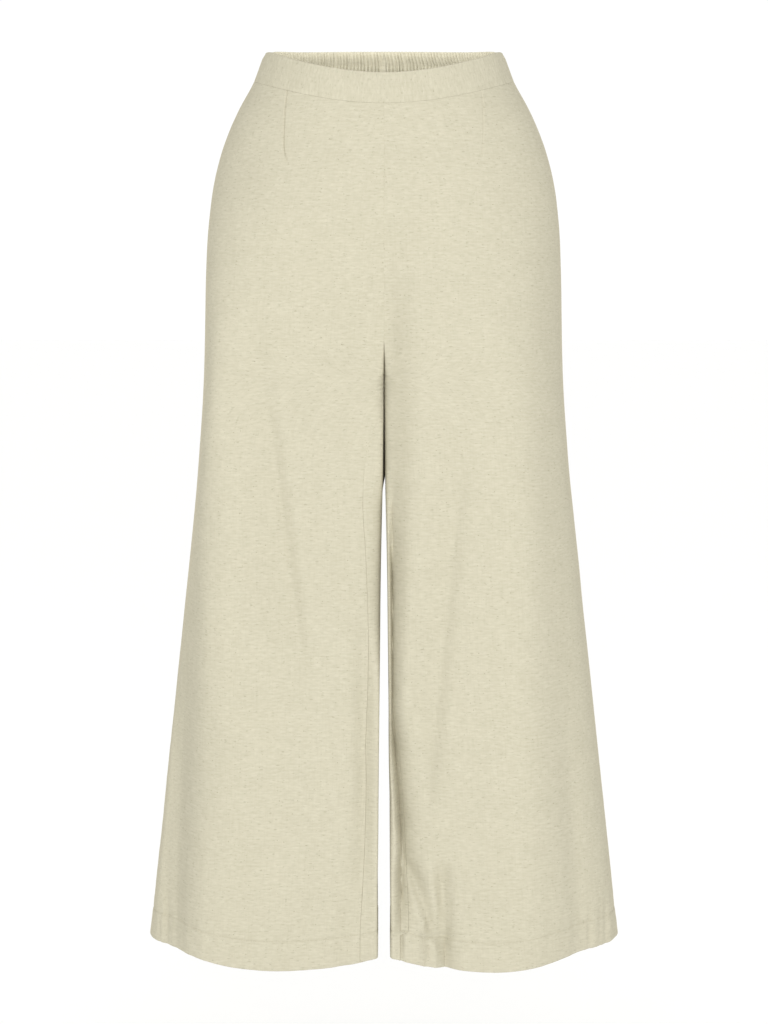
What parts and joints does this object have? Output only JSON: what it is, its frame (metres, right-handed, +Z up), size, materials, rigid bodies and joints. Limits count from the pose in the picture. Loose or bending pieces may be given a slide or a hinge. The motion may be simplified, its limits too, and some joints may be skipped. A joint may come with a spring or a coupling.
{
  "type": "culottes",
  "caption": "High-waisted, wide-legged cropped culottes in slubbed linen blend, standing open as worn, with a flat front waistband and an elastic gathered back.",
  "frame": {"origin": "centre of the waist at half the height of the waistband's side, where a wearer's body holds the garment", "axes": "+Z up, towards the waist opening; the front faces -Y; the wearer's left is +X"},
  "size_m": [0.4902, 0.2432, 0.941],
  "materials": {
    "front_left_linen": "matt slubbed weave",
    "front_right_linen": "matt slubbed weave",
    "back_left_linen": "matt slubbed weave",
    "back_right_linen": "matt slubbed weave",
    "waistband_front_linen": "matt slubbed weave",
    "waistband_back_linen": "matt slubbed weave"
  },
  "bodies": {
    "root": {"front_left": "front_left_linen", "front_right": "front_right_linen", "back_left": "back_left_linen", "back_right": "back_right_linen", "waistband_front": "waistband_front_linen", "waistband_back": "waistband_back_linen"}
  },
  "joints": []
}
